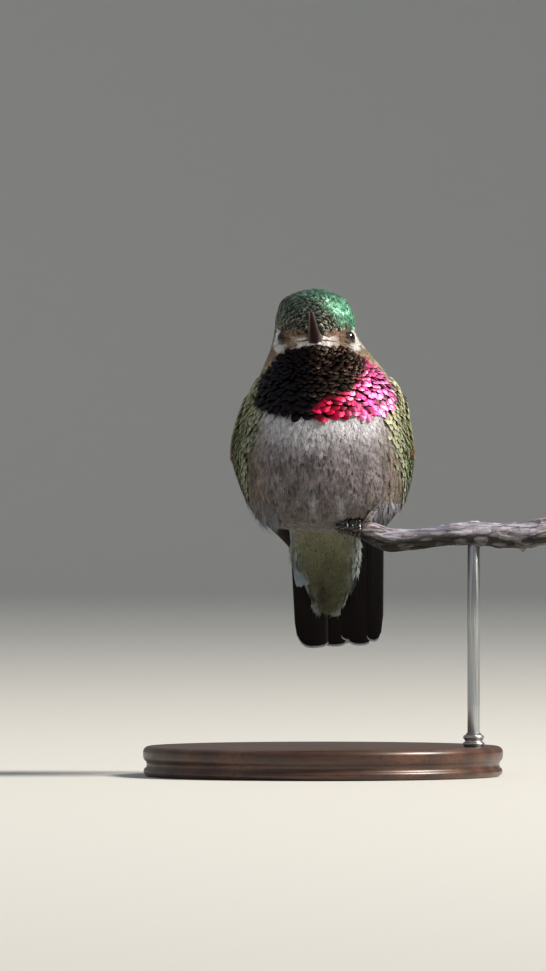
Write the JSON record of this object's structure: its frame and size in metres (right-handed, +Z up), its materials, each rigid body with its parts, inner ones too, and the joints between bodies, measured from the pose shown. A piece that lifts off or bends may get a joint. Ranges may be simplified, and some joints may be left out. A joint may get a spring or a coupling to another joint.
{
  "type": "hummingbird",
  "caption": "Life-size still model of a fluffed-up male hummingbird perched on a short length of twig, held by a rod on a round display base.",
  "frame": {"origin": "centre of the display base's underside", "axes": "+Z up; the bird looks along -Y; +X is the bird's left side, where the twig runs"},
  "size_m": [0.086, 0.072, 0.0974],
  "materials": {
    "crown_feathers": "iridescent emerald scale feathers",
    "gorget_feathers": "iridescent rose-magenta scale feathers",
    "back_feathers": "iridescent bronze-green scale feathers",
    "white_feathers": "soft matte white feathers",
    "grey_feathers": "soft matte grey-buff feathers",
    "flight_feathers": "satin dusky flight feathers",
    "tail_feathers": "satin black tail feathers",
    "horn": "satin black-brown horn",
    "foot_skin": "scaly dark skin",
    "eye": "wet dark eye",
    "bark": "weathered grey bark",
    "stand_wood": "satin stained walnut",
    "stand_steel": "satin steel"
  },
  "bodies": {
    "root": {"back": "back_feathers", "belly": "grey_feathers", "bill_lower": "horn", "bill_upper": "horn", "breast": "white_feathers", "eye_left": "eye", "eye_right": "eye", "foot_left": "foot_skin", "foot_right": "foot_skin", "gorget": "gorget_feathers", "head": "crown_feathers", "leg_left": "foot_skin", "leg_right": "foot_skin", "nape": "back_feathers", "perch_twig": "bark", "rump": "back_feathers", "stand_base": "stand_wood", "stand_ferrule": "stand_steel", "stand_rod": "stand_steel", "tail_left": "tail_feathers", "tail_right": "tail_feathers", "undertail_coverts": "white_feathers", "uppertail_coverts": "back_feathers", "wing_left_primaries": "flight_feathers", "wing_left_secondaries": "flight_feathers", "wing_left_shoulder": "back_feathers", "wing_right_primaries": "flight_feathers", "wing_right_secondaries": "flight_feathers", "wing_right_shoulder": "back_feathers"}
  },
  "joints": []
}
